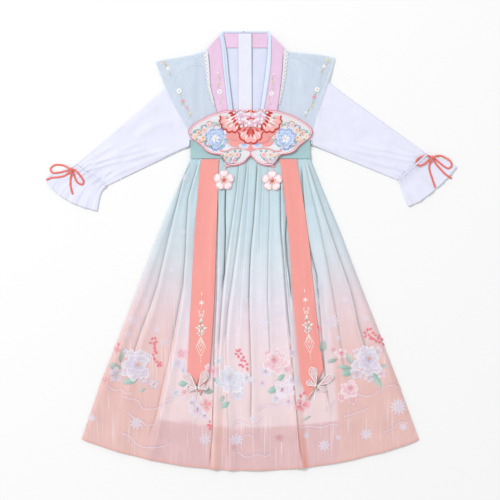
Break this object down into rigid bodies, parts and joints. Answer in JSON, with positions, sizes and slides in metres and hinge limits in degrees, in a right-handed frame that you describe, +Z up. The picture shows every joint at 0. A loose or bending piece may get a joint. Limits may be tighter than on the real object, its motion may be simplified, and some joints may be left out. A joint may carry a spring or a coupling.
{
  "type": "hanfu dress laid flat",
  "caption": "Child's hanfu dress laid flat, front up: pleated long skirt, sheer shoulder wings, band collar, flared cuffs and hanging ribbons.",
  "frame": {"origin": "on the table under the middle of the dress's outline", "axes": "+X to the right as seen from above, front up; +Y towards the collar; +Z up from the table"},
  "size_m": [0.945, 1.01, 0.0161],
  "materials": {
    "skirt_chiffon": "slubbed chiffon dyed from pale aqua at the waist to peach at the hem, soft low sheen",
    "lining": "thin matt polyester, peach",
    "waistband": "mint satin-backed crepe, faint sheen",
    "blouse_chiffon": "crinkled white chiffon with a lavender cast",
    "vest_organza": "sheer grey-blue organza, slight sheen",
    "collar_brocade": "lilac-pink crepe with embroidered sprigs",
    "collar_edging": "pale blue satin binding",
    "zip_guard": "plain white cotton",
    "lace": "white scalloped lace with small eyelets",
    "ribbon_satin": "coral crepe ribbon with fine embroidery",
    "tie_satin": "orange-coral satin tie",
    "butterfly_embroidery": "dense satin-stitch embroidery with a pink corded edge",
    "rosette_embroidery": "coral and red satin-stitch petals",
    "blue_embroidery": "blue and white satin-stitch petals",
    "pendant_embroidery": "padded white-pink embroidered flower",
    "small_butterfly_organza": "sheer organza with outline stitching"
  },
  "bodies": {
    "root": {"blouse_back": "blouse_chiffon", "blouse_front_left": "blouse_chiffon", "blouse_front_right": "blouse_chiffon", "blue_rosette_left": "blue_embroidery", "blue_rosette_right": "blue_embroidery", "butterfly": "butterfly_embroidery", "butterfly_rosette": "rosette_embroidery", "collar_back": "collar_brocade", "collar_edging_back": "collar_edging", "collar_edging_left": "collar_edging", "collar_edging_right": "collar_edging", "collar_left": "collar_brocade", "collar_right": "collar_brocade", "cuff_left": "blouse_chiffon", "cuff_right": "blouse_chiffon", "lace_left": "lace", "lace_right": "lace", "lining_back": "lining", "lining_front": "lining", "pendant_left": "pendant_embroidery", "pendant_loop_left": "pendant_embroidery", "pendant_loop_right": "pendant_embroidery", "pendant_right": "pendant_embroidery", "ribbon_left": "ribbon_satin", "ribbon_right": "ribbon_satin", "skirt_back": "skirt_chiffon", "skirt_front": "skirt_chiffon", "sleeve_left": "blouse_chiffon", "sleeve_right": "blouse_chiffon", "small_butterfly_left": "small_butterfly_organza", "small_butterfly_right": "small_butterfly_organza", "tie_left_knot": "tie_satin", "tie_left_loop_in": "tie_satin", "tie_left_loop_out": "tie_satin", "tie_left_tail_in": "tie_satin", "tie_left_tail_out": "tie_satin", "tie_right_knot": "tie_satin", "tie_right_loop_in": "tie_satin", "tie_right_loop_out": "tie_satin", "tie_right_tail_in": "tie_satin", "tie_right_tail_out": "tie_satin", "vest_back": "vest_organza", "vest_front_left": "vest_organza", "vest_front_right": "vest_organza", "waistband_back": "waistband", "waistband_front": "waistband", "zip_guard": "zip_guard"}
  },
  "joints": []
}
